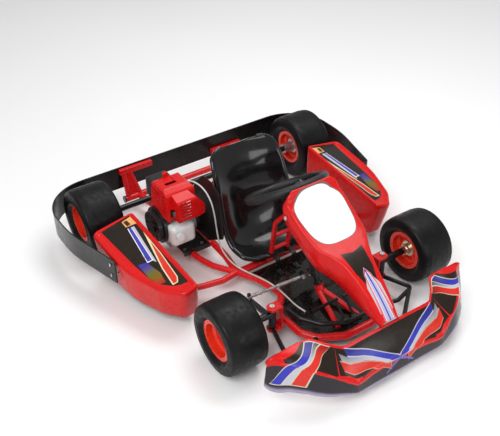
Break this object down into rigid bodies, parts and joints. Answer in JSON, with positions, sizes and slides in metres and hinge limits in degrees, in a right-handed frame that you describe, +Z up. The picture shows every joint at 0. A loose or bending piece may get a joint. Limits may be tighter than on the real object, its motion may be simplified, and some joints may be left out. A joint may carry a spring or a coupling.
{
  "type": "kart chassis",
  "caption": "Low racing kart: welded tube frame, bucket seat, side-mounted engine with chain drive, steered front wheels, pedals and moulded bodywork.",
  "frame": {"origin": "on the ground, under the middle of the kart's length and width", "axes": "+X forwards, +Y to the driver's left, +Z up"},
  "size_m": [1.426, 1.31, 0.4973],
  "materials": {
    "frame_red": "gloss powder coat",
    "black_steel": "satin black paint",
    "floor_black": "gloss black paint",
    "body_red": "gloss moulded plastic",
    "band_black": "gloss moulded plastic",
    "seat_black": "gloss moulded shell",
    "bolt_zinc": "zinc plated",
    "cast_aluminium": "cast",
    "hub_zinc": "yellow zinc plated",
    "tank_milky": "translucent moulded",
    "engine_black": "moulded",
    "chain_steel": "oiled",
    "disc_steel": "ground",
    "cable_grey": "sheath",
    "grip_rubber": "moulded grip",
    "rod_silver": "turned",
    "tyre_rubber": "slick",
    "rim_red": "deep gloss red",
    "decal": "printed vinyl",
    "plate_white": "blank vinyl plate"
  },
  "bodies": {
    "chassis": {"left_main_rail": "frame_red", "right_main_rail": "frame_red", "front_loop": "frame_red", "crossmembers": "frame_red", "outriggers": "frame_red", "kingpin_yokes": "frame_red", "steering_v_support": "frame_red", "steering_hoop": "frame_red", "bumper_brackets": "frame_red", "seat_stays": "frame_red", "floor_brackets": "black_steel", "heel_bar": "black_steel", "nose_bars": "black_steel", "engine_plate": "black_steel", "heat_shield": "black_steel", "axle_bearing_carriers": "black_steel", "muffler": "black_steel", "floor_tray": "floor_black", "nose_fairing": "body_red", "number_panel": "body_red", "left_side_pod": "body_red", "right_side_pod": "body_red", "engine_shroud": "body_red", "rear_bumper_band": "band_black", "tube_end_caps": "band_black", "seat": "seat_black", "bodywork_bolts": "bolt_zinc", "kingpin_bolts": "bolt_zinc", "crankcase": "cast_aluminium", "brake_caliper": "cast_aluminium", "fuel_tank": "tank_milky", "recoil_housing": "engine_black", "air_cleaner": "engine_black", "drive_chain": "chain_steel", "throttle_cable": "cable_grey", "brake_cable": "cable_grey"},
    "steering": {"steering_wheel_grip": "grip_rubber", "steering_wheel_plate": "black_steel", "steering_wheel_bolts": "bolt_zinc", "steering_shaft": "black_steel", "pitman_arm": "black_steel"},
    "left_steering_knuckle": {"left_spindle": "black_steel"},
    "right_steering_knuckle": {"right_spindle": "black_steel"},
    "left_tie_rod_assembly": {"left_tie_rod": "rod_silver"},
    "right_tie_rod_assembly": {"right_tie_rod": "rod_silver"},
    "front_left_wheel": {"front_left_tyre": "tyre_rubber", "front_left_rim": "rim_red", "front_left_hub": "hub_zinc"},
    "front_right_wheel": {"front_right_tyre": "tyre_rubber", "front_right_rim": "rim_red", "front_right_hub": "hub_zinc"},
    "rear_axle_assembly": {"rear_axle": "black_steel", "rear_tyres": "tyre_rubber", "rear_rims": "rim_red", "rear_hubs": "cast_aluminium", "axle_sprocket": "chain_steel", "brake_disc": "disc_steel"},
    "clutch_output": {"clutch_sprocket": "chain_steel"},
    "throttle_pedal_lever": {"throttle_pedal": "black_steel"},
    "brake_pedal_lever": {"brake_pedal": "black_steel"}
  },
  "joints": [
    {"name": "steering_turn", "type": "hinge", "parent": "chassis", "child": "steering", "pos_m": [0.076, 0, 0.404], "axis": [-0.5481, 0, 0.8364], "range_deg": [-35, 35]},
    {"name": "left_kingpin_turn", "type": "hinge", "parent": "chassis", "child": "left_steering_knuckle", "pos_m": [0.335, 0.245, 0.108], "axis": [0, 0, 1], "range_deg": [-17.3, 17.3]},
    {"name": "right_kingpin_turn", "type": "hinge", "parent": "chassis", "child": "right_steering_knuckle", "pos_m": [0.335, -0.245, 0.108], "axis": [0, 0, 1], "range_deg": [-17.3, 17.3]},
    {"name": "left_tie_rod_pivot", "type": "hinge", "parent": "left_steering_knuckle", "child": "left_tie_rod_assembly", "pos_m": [0.21, 0.255, 0.1185], "axis": [0, 0, 1], "range_deg": [-18.35, 18.35]},
    {"name": "right_tie_rod_pivot", "type": "hinge", "parent": "right_steering_knuckle", "child": "right_tie_rod_assembly", "pos_m": [0.21, -0.255, 0.1185], "axis": [0, 0, 1], "range_deg": [-18.35, 18.35]},
    {"name": "front_left_wheel_spin", "type": "hinge", "parent": "left_steering_knuckle", "child": "front_left_wheel", "pos_m": [0.335, 0.412, 0.129], "axis": [0, 1, 0], "continuous": true},
    {"name": "front_right_wheel_spin", "type": "hinge", "parent": "right_steering_knuckle", "child": "front_right_wheel", "pos_m": [0.335, -0.412, 0.129], "axis": [0, 1, 0], "continuous": true},
    {"name": "rear_axle_spin", "type": "hinge", "parent": "chassis", "child": "rear_axle_assembly", "pos_m": [-0.51, 0, 0.138], "axis": [0, 1, 0], "continuous": true},
    {"name": "clutch_spin", "type": "hinge", "parent": "chassis", "child": "clutch_output", "pos_m": [-0.262, -0.188, 0.15], "axis": [0, 1, 0], "continuous": true},
    {"name": "throttle_pedal_press", "type": "hinge", "parent": "chassis", "child": "throttle_pedal_lever", "pos_m": [0.452, -0.02, 0.066], "axis": [0, 1, 0], "range_deg": [0, 22], "stiffness_Nm_per_rad": 2, "springref_deg": -14.32},
    {"name": "brake_pedal_press", "type": "hinge", "parent": "chassis", "child": "brake_pedal_lever", "pos_m": [0.452, 0.02, 0.066], "axis": [0, 1, 0], "range_deg": [0, 22], "stiffness_Nm_per_rad": 2, "springref_deg": -14.32}
  ],
  "couplings": [
    {"joint": "left_kingpin_turn", "follows": "steering_turn", "ratio": 0.48},
    {"joint": "right_kingpin_turn", "follows": "steering_turn", "ratio": 0.48},
    {"joint": "left_tie_rod_pivot", "follows": "steering_turn", "ratio": -0.51},
    {"joint": "right_tie_rod_pivot", "follows": "steering_turn", "ratio": -0.51},
    {"joint": "clutch_spin", "follows": "rear_axle_spin", "ratio": 4}
  ]
}
